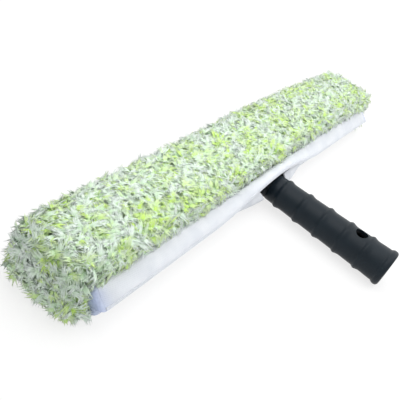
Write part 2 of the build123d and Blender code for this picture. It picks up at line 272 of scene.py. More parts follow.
grip_rubber = moulded(
    "grip_rubber", colour(14, 23, 30), colour(23, 34, 42),
    roughness=0.42, grain_size=0.7 * mm, bump=0.2, shine=0.2,
)
hub_plastic = moulded(
    "hub_plastic", colour(16, 19, 22), colour(27, 30, 34),
    roughness=0.42, grain_size=0.4 * mm, bump=0.15, shine=0.25,
)
cap_plastic = moulded(
    "cap_plastic", colour(34, 36, 39), colour(48, 50, 54),
    roughness=0.38, grain_size=0.4 * mm, bump=0.12, shine=0.4,
)
print("moulded", grip_rubber.name, hub_plastic.name, cap_plastic.name)

# %% [markdown]
# The crossbar is extruded aluminium, drawn through a die along X, so fine
# lines run along it. Noise stretched along X makes them. The screws are zinc-plated steel.

# %% Metals
def drawn_metal(name, dark, light, roughness, stretch):
    """Metal with fine lines; stretch is the noise's scale along and across them."""
    material, tree, shader = new_material(name, Metallic=1.0)
    sockets = {"Vector": object_place(tree), "Scale": stretch}
    lines = clouds(tree, result(add_node(tree, "ShaderNodeMapping", sockets)), 1.0, 4.0)
    wire(
        tree,
        shader,
        Base_Color=mix(tree, lines, dark, light),
        Roughness=remap(tree, lines, target=(roughness, roughness + 0.2)),
        Normal=bumped(tree, 0.15, 0.1 * mm, lines),
    )
    return material


fine, drawn_out = 2500, 30
crossbar_metal = drawn_metal(
    "crossbar_metal", colour(196, 199, 202), colour(226, 228, 230), 0.3, (drawn_out, fine, fine)
)
screw_steel = drawn_metal(
    "screw_steel", colour(172, 174, 178), colour(208, 210, 214), 0.28, (fine, fine, fine)
)
for node, material in {
    "crossbar": crossbar_metal,
    "end_cap_left": cap_plastic,
    "end_cap_right": cap_plastic,
    "neck_hub": hub_plastic,
    "handle_core": hub_plastic,
    "hub_screws": screw_steel,
    "socket_screw": screw_steel,
    "socket_washer": screw_steel,
}.items():
    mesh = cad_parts[node].data
    mesh.materials.clear()
    mesh.materials.append(material)
print("CAD pieces dressed")

# %% [markdown]
# The flaps and linings are a plain white woven fabric, with a short sheen from its
# loose fibres. Where the cloth turns in at both ends of the bar it lies in shade, so the mesh
# keeps a number there, "ends", and the material goes bluer with it: painted shade.

# %% Fabrics
cloth_shade, cloth_light = colour(205, 209, 216), colour(217, 220, 225)
# painted shade: the bluish colour of the cloth where it turns in at the bar's ends
end_shade = colour(158, 174, 214)


def fabric(name, shade, light, thread, bump):
    """White cloth: two tints in slow patches, painted blue shade at its ends, and its threads as a
    bump.
    """
    material, tree, shader = new_material(
        name, Roughness=0.9, Sheen_Weight=0.15, Specular_IOR_Level=0.25
    )
    where = result(add_node(tree, "ShaderNodeUVMap", uv_map="cloth"))
    woven = add_node(
        tree, "ShaderNodeGroup", {"Vector": where, "Thread": thread}, node_tree=weave_group
    )
    patched = mix(tree, remap(tree, result(woven, "Patches"), source=(0.35, 0.65)), shade, light)
    # the base colour goes bluer with "ends": painted shade where the cloth turns in
    wire(
        tree,
        shader,
        Base_Color=mix(tree, kept(tree, "ends"), patched, end_shade),
        Normal=bumped(tree, bump, 0.3 * mm, result(woven, "Height")),
    )
    return material


flap_cloth = fabric("flap_cloth", cloth_shade, cloth_light, thread=0.8 * mm, bump=0.35)
hem_cloth = fabric("hem_cloth", cloth_shade, cloth_light, thread=0.6 * mm, bump=0.45)
base_cloth = fabric("base_cloth", cloth_shade, cloth_light, thread=1.0 * mm, bump=0.5)
tape_cloth = fabric(
    "tape_cloth", colour(214, 218, 222), colour(232, 234, 237), thread=1.1 * mm, bump=0.9
)
print("fabrics", flap_cloth.name, hem_cloth.name, base_cloth.name, tape_cloth.name)

# %% [markdown]
# New pieces are made as lists of points and faces. settle() turns a piece and its
# modifiers into one plain mesh, which is what the exported model keeps.

# %% Helpers for meshes
def new_piece(name, points, faces, material):
    """An object at the origin from points and faces."""
    mesh = bpy.data.meshes.new(name)
    mesh.from_pydata([tuple(p) for p in points], [], faces)
    mesh.materials.append(material)
    piece = bpy.data.objects.new(name, mesh)
    bpy.context.scene.collection.objects.link(piece)
    return piece


def settle(piece):
    """Makes the evaluated result the piece's own mesh and removes its modifiers."""
    depsgraph = bpy.context.evaluated_depsgraph_get()
    done = bpy.data.meshes.new_from_object(piece.evaluated_get(depsgraph))
    old = piece.data
    piece.modifiers.clear()
    piece.data = done
    bpy.data.meshes.remove(old)
    done.name = piece.name
    return piece


def turn_outwards(piece):
    """Merges double points and makes the faces of a closed mesh point outwards."""
    edit = bmesh.new()
    edit.from_mesh(piece.data)
    bmesh.ops.remove_doubles(edit, verts=edit.verts, dist=0.01 * mm)
    bmesh.ops.recalc_face_normals(edit, faces=edit.faces)
    edit.to_mesh(piece.data)
    edit.free()
    return piece


def smooth(piece, sharp_angle=40):
    """Smooth shading, with edges above the angle, in degrees, kept sharp."""
    piece.data.shade_smooth()
    piece.data.set_sharp_from_angle(angle=math.radians(sharp_angle))
    return piece


def keep(piece, name, values):
    """Keeps a number at each point of a piece, for its material."""
    piece.data.attributes.new(name, "FLOAT", "POINT").data.foreach_set("value", values)


# %% [markdown]
# Most shapes here are rows of points that run alongside each other, like the ribs of a
# boat. The faces between them follow one rule, and so do lines rounded through corners.

# %% Helpers for lines and rows
def faces_between(lines, rows, closed=False, ring=False):
    """Four-sided faces between lines of rows points; the lines, or the ring of them, may close."""
    faces = []
    for i in range(lines if ring else lines - 1):
        here, there = i * rows, (i + 1) % lines * rows
        for j in range(rows if closed else rows - 1):
            k = (j + 1) % rows
            faces.append((here + j, here + k, there + k, there + j))
    return faces


def rounded_line(corners, steps):
    """A smooth line through the corners, with a number of steps between each two."""
    ends = [corners[0] * 2 - corners[1], *corners, corners[-1] * 2 - corners[-2]]
    line = []
    for before, start, end, after in zip(ends, ends[1:], ends[2:], ends[3:]):
        for i in range(steps):
            t = i / steps
            bend = (2 * before - 5 * start + 4 * end - after) * t**2
            turn = (3 * start - before - 3 * end + after) * t**3
            line.append(0.5 * (2 * start + (end - before) * t + bend + turn))
    line.append(corners[-1])
    return line


def rounded_corner(centre_y, centre_z, radius, start, end, steps=6):
    """Points on an arc across the bar, in millimetres; angles from +Y towards +Z."""
    turns = [math.radians(start + (end - start) * i / steps) for i in range(steps + 1)]
    return [(centre_y + radius * math.cos(t), centre_z + radius * math.sin(t)) for t in turns]


def stations(start, end, step):
    """Even places along the bar, in millimetres, about a step apart."""
    count = max(1, round(abs(end - start) / step))
    return [start + (end - start) * i / count for i in range(count + 1)]


# %% [markdown]
# The grip is soft rubber moulded over a stiff core. Its rings look like the joints of
# bamboo: each rises quickly out of a shallow groove on the side of the crossbar and
# falls away more slowly. The profile is turned round the handle's axis, as on a lathe,
# and the hole for the pole's catch is cut through the upper side.

# %% Grip: profile
axis_height = 16.6 * mm
grip_start, grip_end = 29.0 * mm, 147.6 * mm
first_ring, ring_pitch, ring_count = 39.6, 21.0, 5
ring_height = 1.2 * mm
slim_radius, growth = 12.6, 2.1  # at the first ring, and how much more at the last
bore_radius, mouth_radius = 10.4 * mm, 10.8 * mm
core_end = 146.6 * mm
core_start_radius, core_end_radius = 10.34 * mm, 13.27 * mm


def body_radius(place):
    """Radius of the grip between its rings."""
    return (slim_radius + growth * (place / mm - first_ring) / (ring_pitch * (ring_count - 1))) * mm


# each point: how far along from the ring or the end, and its share of the ring's height
ring_shape = (
    (-3.8, 0.0), (-3.0, -0.04), (-2.3, 0.06), (-1.6, 0.34), (-0.9, 0.72), (-0.2, 0.95),
    (0.5, 1.0), (1.4, 0.86), (2.4, 0.56), (3.6, 0.25), (4.8, 0.07), (5.8, 0.0),
)
bead_shape = (
    (-8.3, 0.0), (-7.6, -0.08), (-6.9, -0.06), (-6.3, 0.2), (-5.6, 0.6), (-4.8, 0.93),
    (-3.8, 1.08), (-2.7, 1.06), (-1.6, 0.85), (-0.8, 0.4), (-0.25, -0.3), (0.0, -1.2),
)
outside = [
    (grip_start, body_radius(grip_start) - 0.3 * mm),
    (grip_start + 0.4 * mm, body_radius(grip_start)),
]
for i in range(ring_count):
    for along, share in ring_shape:
        place = (first_ring + ring_pitch * i) * mm + along * mm
        outside.append((place, body_radius(place) + share * ring_height))
for along, share in bead_shape:
    outside.append((grip_end + along * mm, body_radius(grip_end) + share * ring_height))
inside = [(grip_end, mouth_radius), (grip_end - 0.5 * mm, bore_radius), (core_end, bore_radius)]
inside += [(core_end, core_end_radius), (grip_start, core_start_radius)]
print("grip profile", len(outside) + len(inside), "points")

# %% Grip: turned and cut
def turned(name, profile, around, material):
    """A closed profile of (place, radius) turned round the handle's axis."""
    points = []
    for i in range(around):
        turn = 2 * math.pi * i / around
        points += [(r * math.sin(turn), -d, axis_height + r * math.cos(turn)) for d, r in profile]
    faces = faces_between(around, len(profile), closed=True, ring=True)
    return turn_outwards(new_piece(name, points, faces, material))


catch_radius, catch_place, cutter_depth = 5.5 * mm, 114 * mm, 20 * mm
grip = turned("grip_sleeve", outside + inside, 128, grip_rubber)
bpy.ops.mesh.primitive_cylinder_add(
    vertices=48,
    radius=catch_radius,
    depth=cutter_depth,
    location=(0, -catch_place, axis_height + cutter_depth / 2),
)
cutter = bpy.context.active_object
hole = grip.modifiers.new("hole", "BOOLEAN")
hole.object = cutter
hole.solver = "EXACT"
bpy.context.view_layer.update()
settle(grip)
bpy.data.objects.remove(cutter)
smooth(grip, sharp_angle=50)
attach(grip, "t_bar")
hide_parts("grip")
print("grip faces", len(grip.data.polygons))

# %% [markdown]
# Each flap is one strip of cloth. Its line behind the bar changes along
# the bar: the upper flap climbs over the root of the grip, and the lower one stands
# out over the hub's gussets. A rule for that line gives the whole sheet, as rows of
# points. Towards its far end the loose sleeve has slipped a little to the handle's
# side, and slump() says how much, for the flaps and for the pile.

# %% Flaps: their lines
seam_back, upper_seam, lower_seam = 17.1, 29.1, 6.6
half_flap = 220
upper_width, lower_width = 17.7, 23.2
slump_start, slump_run = 60, 160
flap_slump, pile_slump = 3, 5.5
line_steps = 5
# corners of each line, as shares of the flap's width: backwards from the seam, and up
upper_closed = ((0, 0), (0.14, 0), (0.21, -0.02), (0.475, -0.203), (0.65, -0.401), (0.723, -0.593))
upper_lifted = ((0, 0), (0.14, 0), (0.17, 0.2), (0.34, 0.35), (0.576, 0.35), (0.695, 0.181))
upper_pinched = ((0, 0), (0.12, -0.02), (0.17, -0.08), (0.36, -0.3), (0.57, -0.46), (0.73, -0.6))
lower_closed = (
    (0, 0), (0.151, 0.009), (0.323, 0.147), (0.401, 0.362), (0.376, 0.558), (0.243, 0.709),
)
lower_tented = ((0, 0), (0.23, 0), (0.534, 0.172), (0.685, 0.431), (0.599, 0.664), (0.47, 0.815))


def ease(share):
    """Eases from 1 down to 0 while the share grows from 0 to 1."""
    return (1 + math.cos(math.pi * min(max(share, 0), 1))) / 2


def slump(x):
    """Share of the slip towards the handle's side, at x in millimetres."""
    return max(0, (x - slump_start) / slump_run) ** 1.5


def flap_line(x, seam_height, width, closed, raised, lift):
    """A flap's smooth line at x, in metres, from its seam to its free edge."""
    corners = []
    for low, high in zip(closed, raised):
        out, up = Vector(low).lerp(Vector(high), lift)
        y = -seam_back - out * width - flap_slump * slump(x)
        corners.append(Vector((x, y, seam_height + up * width)) * mm)
    return rounded_line(corners, line_steps)


def cut_to(line, length):
    """The part of a line up to a length from its start, with as many points as before."""
    gone = [0.0]
    for a, b in zip(line, line[1:]):
        gone.append(gone[-1] + (b - a).length)
    points = []
    for i in range(len(line)):
        want = min(length, gone[-1]) * i / (len(line) - 1)
        j = max(k for k in range(len(line) - 1) if gone[k] <= want)
        points.append(line[j].lerp(line[j + 1], (want - gone[j]) / (gone[j + 1] - gone[j])))
    return points


# %% [markdown]
# The upper flap is lifted over the handle within 100 mm of the middle, and pinched at
# both ends. The lower one stands out beside the handle's root. Left of the handle, as in
# the photograph, its free edge dips under the grip, so it is cut shorter there.

# %% Flaps: their rules along the bar
tent_reach = 100
pinch_start, pinch_run = 206, 14
hub_half, hub_run = 17, 50
dip_start, dip_run = 14, 22
whole_cut, dip_cut = 1.35, 0.82  # shares of the lower flap's width


def upper_line(x):
    """Line of the upper flap at x, in millimetres."""
    if abs(x) > tent_reach:
        raised, lift = upper_pinched, max(0, (abs(x) - pinch_start) / pinch_run) ** 2
    else:
        raised, lift = upper_lifted, ease(abs(x) / tent_reach)
    return flap_line(x, upper_seam, upper_width, upper_closed, raised, lift)


def lower_line(x):
    """Line of the lower flap at x, in millimetres."""
    lift = ease((abs(x) - hub_half) / hub_run)
    line = flap_line(x, lower_seam, lower_width, lower_closed, lower_tented, lift)
    dip = ease((-x - dip_start) / dip_run) * (x < 0)
    return cut_to(line, lower_width * (whole_cut - dip_cut * dip) * mm)


print("upper flap at the handle", [round(v / mm, 1) for v in upper_line(0)[-1]])

# %% [markdown]
# A sheet of cloth is made from such lines, with slow and fine ripples that die out at
# the seam, and gets its thickness at the end. Its UV map is the cloth's own: metres
# along the bar and metres down the cloth. The last 9 mm at each end keep the number
# that makes the material bluer there: painted shade where the cloth turns in.

# %% Sheets of cloth from lines
# ripples: how fine they are along the bar and down the cloth, and where the noise starts
slow_ripple, fine_ripple = (28, 60, 3.7), (110, 90, 9.1)
calm_run = 6 * mm
# painted shade at the ends: its strongest share, the length it grows over, and how far down the
# cloth it takes to reach full strength
painted_shade_most, painted_shade_run, painted_shade_calm = 0.45, 9 * mm, 5 * mm


def sideways(line):
    """Unit directions square to a line and to the bar, on the line's left side."""
    found = []
    for i in range(len(line)):
        way = line[min(i + 1, len(line) - 1)] - line[max(i - 1, 0)]
        found.append(Vector((0, -way.z, way.y)).normalized())
    return found


def ripples(along, down, kind):
    """Noise at a place along the cloth and down it."""
    return noise.noise(Vector((along * kind[0], down * kind[1], kind[2])))


def map_cloth(piece, places):
    """The cloth's own UV map, from a place for each point."""
    layer = piece.data.uv_layers.new(name="cloth")
    for loop in piece.data.loops:
        layer.data[loop.index].uv = places[loop.vertex_index]


def thicken(piece, thickness, offset):
    """Gives a sheet its thickness, and makes it one plain mesh."""
    thick = piece.modifiers.new("thickness", "SOLIDIFY")
    thick.thickness = thickness
    thick.offset = offset
    return smooth(settle(piece), sharp_angle=60)


def cloth(name, lines, material, thickness, offset=0.0, ripple=0.0):
    """A sheet through lines of points, moved sideways by an offset."""
    points, places = [], []
    for line in lines:
        gone = 0.0
        for i, (point, side) in enumerate(zip(line, sideways(line))):
            gone += (point - line[i - 1]).length if i else 0.0
            wave = ripple * ripples(point.x, gone, slow_ripple)
            wave += 0.4 * ripple * ripples(point.x, gone, fine_ripple)
            points.append(point + side * (offset + wave * min(1.0, gone / calm_run)))
            places.append((point.x, gone))
    piece = new_piece(name, points, faces_between(len(lines), len(lines[0])), material)
    map_cloth(piece, places)
    # painted shade, bluer towards the bar's ends
    tint = []
    for x, gone in places:
        near = max(0, 1 - (half_flap * mm - abs(x)) / painted_shade_run)
        tint.append(painted_shade_most * near**1.5 * min(1, gone / painted_shade_calm))
    keep(piece, "ends", tint)
    return thicken(piece, thickness, 0)


# %% [markdown]
# The upper flap is the white band that the photograph shows along the back.
# Its lower edge is turned over and stitched, so it has a second layer there.

# %% Upper flap and its hem
flap_thickness = 1.0 * mm
upper_lines = [upper_line(x) for x in stations(-half_flap, half_flap, 2.2)]
upper_flap = cloth("upper_flap_cloth", upper_lines, flap_cloth, flap_thickness, ripple=0.35 * mm)
upper_hem = cloth(
    "upper_flap_edge",
    [line[-4:] for line in upper_lines],
    hem_cloth,
    0.4 * mm,
    offset=-0.62 * mm,
    ripple=0.1 * mm,
)
print("upper flap faces", len(upper_flap.data.polygons))

# %% [markdown]
# The lower flap closes the pocket behind the bar. A notch lets the handle through:
# the cloth is cut where it comes within the notch's radius of the handle's axis,
# or stands straight above it.

# %% Lower flap and its hem
lower_lines = [lower_line(x) for x in stations(-half_flap, half_flap, 1.1)]
lower_flap = cloth("lower_flap_cloth", lower_lines, flap_cloth, flap_thickness, ripple=0.3 * mm)
lower_hem = cloth(
    "lower_flap_edge", [line[-4:] for line in lower_lines], hem_cloth, 0.5 * mm, offset=-0.75 * mm
)
notch_radius, notch_back = 14.3 * mm, 20 * mm


def cut_notch(piece):
    """Removes the faces of a flap that lie in the handle's notch."""
    edit = bmesh.new()
    edit.from_mesh(piece.data)
    gone = []
    for face in edit.faces:
        x, y, z = face.calc_center_median()
        inside_round = math.hypot(x, z - axis_height) < notch_radius
        if y < -notch_back and abs(x) < notch_radius and (inside_round or z > axis_height):
            gone.append(face)
    bmesh.ops.delete(edit, geom=gone, context="FACES")
    open_edges = [edge for edge in edit.edges if edge.is_boundary]
    bmesh.ops.holes_fill(edit, edges=open_edges, sides=0)
    edit.to_mesh(piece.data)
    edit.free()


cut_notch(lower_flap)
cut_notch(lower_hem)
print("lower flap faces", len(lower_flap.data.polygons))

# %% [markdown]
# Hook tape and loop tape hold the flaps together. They lie between the flaps,
# on both sides of the handle, and show when the upper flap is lifted.

# %% Tapes
both_sides = ((-1, "left"), (1, "right"))
tape_start, tape_end, tape_thickness = 100, 208, 1.1 * mm
tape_rules = (("hook", upper_line, slice(15, 21)), ("loop", lower_line, slice(20, 26)))
tapes = {}
for side, word in both_sides:
    places = sorted(stations(side * tape_start, side * tape_end, 3))
    for kind, rule, part in tape_rules:
        tapes[kind, word] = cloth(
            f"{kind}_tape_{word}_pile",
            [rule(x)[part] for x in places],
            tape_cloth,
            tape_thickness,
            offset=tape_thickness,
        )
print("tapes", len(tapes))

# %% [markdown]
# The backing is the base fabric that carries the pile. It wraps over, in front of and
# under the bar, in a pocket with two rounded bends at the front.

# %% Backing
pocket_back, pocket_top, pocket_bottom = -19.6, 27.7, 8.0
bend_y, upper_bend_z, lower_bend_z, bend_radius = 17.0, 20.1, 15.6, 7.6
half_backing = 221.5
backing_outline = [(y, pocket_top) for y in (pocket_back, -8, 4)]
backing_outline += rounded_corner(bend_y, upper_bend_z, bend_radius, 90, 0)
backing_outline += rounded_corner(bend_y, lower_bend_z, bend_radius, 0, -90)
backing_outline += [(y, pocket_bottom) for y in (4, -8, pocket_back)]
backing_lines = [
    [Vector((x, y, z)) * mm for y, z in backing_outline]
    for x in stations(-half_backing, half_backing, 9)
]
backing = cloth("backing_cloth", backing_lines, base_cloth, 1.2 * mm)
print("backing faces", len(backing.data.polygons))

# %% [markdown]
# One soft panel closes each end of the pocket. It starts at the rim that the flaps'
# ends and the pocket's front make, and rounds over in a few rings. Fine creases run
# in from the rim, and the panel puffs out a little beside the upper flap's end.

# %% End linings
rim_radius, rim_gap = 8.2, 1.5
panel_middle = Vector((0, -2, 17.85)) * mm
panel_half_depth, panel_half_height = 28, 11
# each ring: how far it is drawn in, and its place along the bar
panel_rings = (
    (0, 220.3), (0.1, 221.0), (0.5, 221.8), (1.2, 222.5), (2.4, 223.0), (4.0, 223.2), (6.5, 223.3),
)
crease_height, crease_ripple = 0.9, (450, 60)
puff_back, puff_floor = -17 * mm, 16 * mm
puff_height = {-1: 0.9, 1: 2.5}


def end_rim(side):
    """Closed line round one end: over the upper flap, under the lower one, round in front."""
    upper = upper_line(side * half_flap)
    lower = lower_line(side * half_flap)
    half = flap_thickness / 2
    over = [p - s * half for p, s in zip(upper, sideways(upper))]
    low_enough = over[-1].z - rim_gap * mm
    under = [p + s * half for p, s in zip(lower, sideways(lower)) if p.z < low_enough]
    front = rounded_corner(bend_y, lower_bend_z, rim_radius, -90, 0)
    front += rounded_corner(bend_y, upper_bend_z, rim_radius, 0, 90)
    return over + under[::-1] + [Vector((0, y, z)) * mm for y, z in front]


def panel_point(p, side, inset, out):
    """A point of the rim, drawn in towards the panel's middle and moved out along the bar."""
    y = panel_middle.y + (p.y - panel_middle.y) * (1 - inset / panel_half_depth)
    z = panel_middle.z + (p.z - panel_middle.z) * (1 - inset / panel_half_height)
    crease = crease_height * ripples(y, z, (*crease_ripple, side)) * min(1, inset)
    puff = puff_height[side] if p.z > puff_floor and p.y < puff_back else 0
    return Vector((side * (out + crease + puff * min(1, inset / 2)) * mm, y, z))


def end_panel(name, side):
    """Soft panel that closes one end."""
    rim = end_rim(side)
    points = [panel_point(p, side, inset, out) for inset, out in panel_rings for p in rim]
    rows = len(rim)
    middle = tuple(range(len(points) - rows, len(points)))
    faces = [middle, *faces_between(len(panel_rings), rows, closed=True)]
    patch = turn_outwards(new_piece(name, points, faces, base_cloth))
    vertices = patch.data.vertices
    start = panel_rings[0][1]
    # painted shade: the panel starts as blue as the flaps' ends and grows bluer further out along
    # the bar
    tint = [min(0.9, painted_shade_most + 0.08 * (abs(v.co.x) / mm - start)) for v in vertices]
    keep(patch, "ends", tint)
    map_cloth(patch, [(v.co.y, v.co.z) for v in vertices])
    return thicken(patch, 0.8 * mm, -1 if patch.data.polygons[0].normal.x * side > 0 else 1)


linings = {word: end_panel(f"end_lining_{word}_cloth", side) for side, word in both_sides}
print("end linings", [len(lining.data.polygons) for lining in linings.values()])

# %% [markdown]
# Geometry Nodes make what repeats. A tree is a network of nodes that works on a mesh.
# Two helpers start a tree with named inputs, and let it make a piece: the modifier's
# inputs are set first, and then the result becomes a plain mesh.

# %% Helpers for Geometry Nodes
def new_tree(name, inputs, output):
    """A Geometry Nodes tree, its input node, and the identifier of each input."""
    tree = bpy.data.node_groups.new(name, "GeometryNodeTree")
    ids = {}
    for key, kind in inputs.items():
        socket = tree.interface.new_socket(key, in_out="INPUT", socket_type=f"NodeSocket{kind}")
        ids[key] = socket.identifier
    tree.interface.new_socket(output, in_out="OUTPUT", socket_type="NodeSocketGeometry")
    return tree, add_node(tree, "NodeGroupInput"), ids


def grown(name, mesh, tree, ids, inputs):
    """The piece that a tree makes from a mesh."""
    piece = bpy.data.objects.new(name, mesh)
    bpy.context.scene.collection.objects.link(piece)
    modifier = piece.modifiers.new("growth", "NODES")
    modifier.node_group = tree
    for key, value in inputs.items():
        modifier[ids[key]] = value
    bpy.context.view_layer.update()
    return settle(piece)


# %% [markdown]
# A line of stitches runs along the upper hem and along the upper seam. A curve is
# divided into even lengths, and one short stitch is put on each point, turned along
# the curve. The tree's inputs are the line, the stitch, the pitch and the thread.

# %% Geometry Nodes: stitches along a line
# each ring of points on a stitch: its place along, its height, and its radius, in millimetres
stitch_rings = ((-1.0, -0.12, 0.08), (-0.6, 0.08, 0.2), (0.6, 0.08, 0.2), (1.0, -0.12, 0.08))


def stitch_shape():
    """One stitch: a short six-sided thread that dips at both ends, 2 mm long."""
    points = []
    for along, up, radius in stitch_rings:
        for i in range(6):
            turn = math.pi * i / 3
            y, z = radius * math.cos(turn), up + radius * math.sin(turn)
            points.append(Vector((along, y, z)) * mm)
    faces = faces_between(len(stitch_rings), 6, closed=True)
    faces += [tuple(range(5, -1, -1)), tuple(range(18, 24))]
    return turn_outwards(new_piece("stitch_shape", points, faces, hem_cloth))


stitch_tree, given, stitch_ids = new_tree(
    "Stitches along a line",
    {"Line": "Geometry", "Stitch": "Object", "Pitch": "Float", "Thread": "Material"},
    "Stitches",
)
as_curve = add_node(stitch_tree, "GeometryNodeMeshToCurve", {"Mesh": result(given, "Line")})
even = add_node(
    stitch_tree,
    "GeometryNodeResampleCurve",
    {"Curve": result(as_curve), "Length": result(given, "Pitch")},
    mode="LENGTH",
)
along = result(add_node(stitch_tree, "GeometryNodeInputTangent"))
turned_along = add_node(
    stitch_tree, "FunctionNodeAlignRotationToVector", {"Vector": along}, axis="X"
)
shape = add_node(stitch_tree, "GeometryNodeObjectInfo", {"Object": result(given, "Stitch")})
placed = add_node(
    stitch_tree,
    "GeometryNodeInstanceOnPoints",
    {
        "Points": result(even),
        "Instance": result(shape, "Geometry"),
        "Rotation": result(turned_along),
    },
)
real = add_node(stitch_tree, "GeometryNodeRealizeInstances", {0: result(placed)})
dressed = add_node(
    stitch_tree, "GeometryNodeSetMaterial", {0: result(real), "Material": result(given, "Thread")}
)
add_node(stitch_tree, "NodeGroupOutput", {0: result(dressed)})
print("tree", stitch_tree.name, len(stitch_tree.nodes))

# %% Rows of stitches
stitch = stitch_shape()
stitch_pitch = 3.0 * mm


def stitch_row(name, place, lift):
    """Stitches along the upper flap, at one of its rows of points, lifted off the cloth."""
    line = [flap[place] + sideways(flap)[place] * lift for flap in upper_lines]
    mesh = bpy.data.meshes.new(name)
    mesh.from_pydata([tuple(p) for p in line], [(i, i + 1) for i in range(len(line) - 1)], [])
    inputs = {"Stitch": stitch, "Pitch": stitch_pitch, "Thread": hem_cloth}
    return smooth(grown(name, mesh, stitch_tree, stitch_ids, inputs), sharp_angle=80)


upper_stitches = stitch_row("upper_flap_stitches", -3, -1.05 * mm)
seam_stitches = stitch_row("upper_seam_stitches", 3, -0.55 * mm)
bpy.data.objects.remove(stitch)
print("stitches", len(upper_stitches.data.polygons), len(seam_stitches.data.polygons))

# %% [markdown]
# The pile is many locks of soft yarn sewn into the backing. The yarn's colour is a
# number that each lock keeps, from white through mint to yellow-green. Painted shade
# makes it darker and greener at the root. Pale streaks run up the fibres, and the tips are
# paler: "reach" says how far up a lock a point is, and "lane" how far across.

# %% Pile: the yarn's material
dyes = (
    (0.30, colour(213, 231, 216)),
    (0.52, colour(202, 227, 192)),
    (0.70, colour(206, 230, 174)),
    (0.84, colour(204, 232, 146)),
)
first_dye, last_dye = colour(223, 234, 227), colour(194, 230, 96)
# first: painted shade for the roots deep in the pile; second: the pale colour towards the tips
painted_root_shade, pale_tip_colour = colour(164, 212, 136), colour(228, 236, 231)
fibre_lanes, fibre_shift = 4.5, 90.0  # fibres across a lock, and how unlike two locks are


def yarn_material():
    """Yarn, dyed by each lock's number, with painted shade at the root and paler tips."""
    material, tree, shader = new_material(
        "pile_yarn", Roughness=0.85, Sheen_Weight=0.3, Specular_IOR_Level=0.2
    )
    number, reach, lane = (kept(tree, name) for name in ("yarn", "reach", "lane"))
    ramp = add_node(tree, "ShaderNodeValToRGB", {"Fac": number})
    stops = ramp.color_ramp.elements
    stops[0].color = first_dye
    stops[1].color = last_dye
    for place, tint in dyes:
        stops.new(place).color = tint
    dye = result(ramp, "Color")
    lanes = calc(tree, "MULTIPLY", lane, fibre_lanes)
    apart = calc(tree, "MULTIPLY", number, fibre_shift)
    where = add_node(tree, "ShaderNodeCombineXYZ", {"X": lanes, "Y": reach, "Z": apart})
    fibres = clouds(tree, result(where), 1.0, 2.0)
    # painted shade: darker and greener towards the root of each lock
    shaded = mix(tree, remap(tree, reach, source=(0.1, 0.75)), mix(tree, 0.6, dye, painted_root_shade), dye)
    streaks = remap(tree, fibres, source=(0.45, 0.7), target=(0, 0.3))
    paler_tips = remap(tree, reach, source=(0.5, 1), target=(0, 0.4))
    wire(
        tree,
        shader,
        Base_Color=mix(tree, calc(tree, "ADD", streaks, paler_tips), shaded, pale_tip_colour),
        Normal=bumped(tree, 0.5, 0.4 * mm, fibres),
    )
    return material


pile_yarn = yarn_material()
turf_cloth, tree, shader = new_material("turf_cloth", Roughness=0.95)
turf_patches = clouds(tree, object_place(tree), 300.0, 2.0)
turf_shade, turf_light = colour(204, 236, 190), colour(222, 244, 212)
wire(tree, shader, Base_Color=mix(tree, turf_patches, turf_shade, turf_light))
print("yarn", pile_yarn.name, "turf", turf_cloth.name)

# %% [markdown]
# A lock of microfibre is flat, wider towards its end, and frays into points. Six are
# modelled, with 78 triangles each, because thousands of copies follow. Four lie
# nearly flat and two stand up more. Three rows of ribbed points make the leaf, with a
# thin edge on both sides, and five tips of unequal length close it.

# %% Pile: a few tufts
tuft_count, flat_tufts = 6, 4
leaf_sides = (-1, -0.6, -0.2, 0.2, 0.6, 1)
leaf_heights = (0, 0.32, 0.58)
rib, half_thickness, side_thinning = 0.018, 0.03, 0.6
root_half, spread = 0.05, 0.19  # half width at the root, and how much more at the tips
arch, cup, rounding = 0.45, 0.1, 0.12  # how much it bows over, and its sides sink and draw back


def tuft_shape(seed):
    """A lock of yarn, 1 unit long: a closed leaf, ribbed and bent, that frays into points."""
    chance = random.Random(seed)
    flat = seed < flat_tufts
    lean = chance.uniform(0.95, 1.15) if flat else chance.uniform(0.7, 0.95)
    rise = 0.45 if flat else 0.8
    bend = chance.uniform(-0.35, 0.35)

    def place(h, side, up):
        """A point at a share of the length and a side of the leaf, above or below its middle."""
        across = side * (root_half + spread * h) + bend * h**2
        height = (rise - arch * rise * h) * h - cup * h * side**2 + up
        return Vector((across, lean * h**1.3, height))

    points, faces, reach, lanes = [], [], [], []
    for height in leaf_heights:
        for column, side in enumerate(leaf_sides):
            h = height * (1 - rounding * side**2)
            ridge = rib * (-1) ** column
            for thickness in (half_thickness, -half_thickness):
                thinned = thickness * (1 - side_thinning * abs(side))
                points.append(place(h, side, ridge + thinned))
                reach.append(height)
                lanes.append(side)
    row_size = 2 * len(leaf_sides)
    gaps = range(len(leaf_sides) - 1)
    for row in (0, 1):
        for column in gaps:
            here = row_size * row + 2 * column
            there = here + row_size
            faces.append((here, here + 2, there + 2, there))
            faces.append((here + 1, there + 1, there + 3, here + 3))
        first, last = row_size * row, row_size * (row + 1) - 2
        over, end = first + row_size, last + row_size
        faces.append((first, over, over + 1, first + 1))
        faces.append((last, last + 1, end + 1, end))
    for column in gaps:
        low, top = 2 * column, 2 * row_size + 2 * column
        faces.append((low, low + 1, low + 3, low + 2))
        middle = (leaf_sides[column] + leaf_sides[column + 1]) / 2
        tip = len(points)
        length = chance.uniform(0.8, 1.06)
        side = middle + chance.uniform(-0.3, 0.3)
        points.append(place(length, side, chance.uniform(-0.08, 0.08)))
        reach.append(1)
        lanes.append(middle)
        for a, b in ((top, top + 2), (top + 2, top + 3), (top + 3, top + 1), (top + 1, top)):
            faces.append((a, b, tip))
    tuft = turn_outwards(new_piece(f"tuft_{seed}", points, faces, pile_yarn))
    keep(tuft, "reach", reach)
    keep(tuft, "lane", lanes)
    tuft.data.shade_smooth()
    return tuft


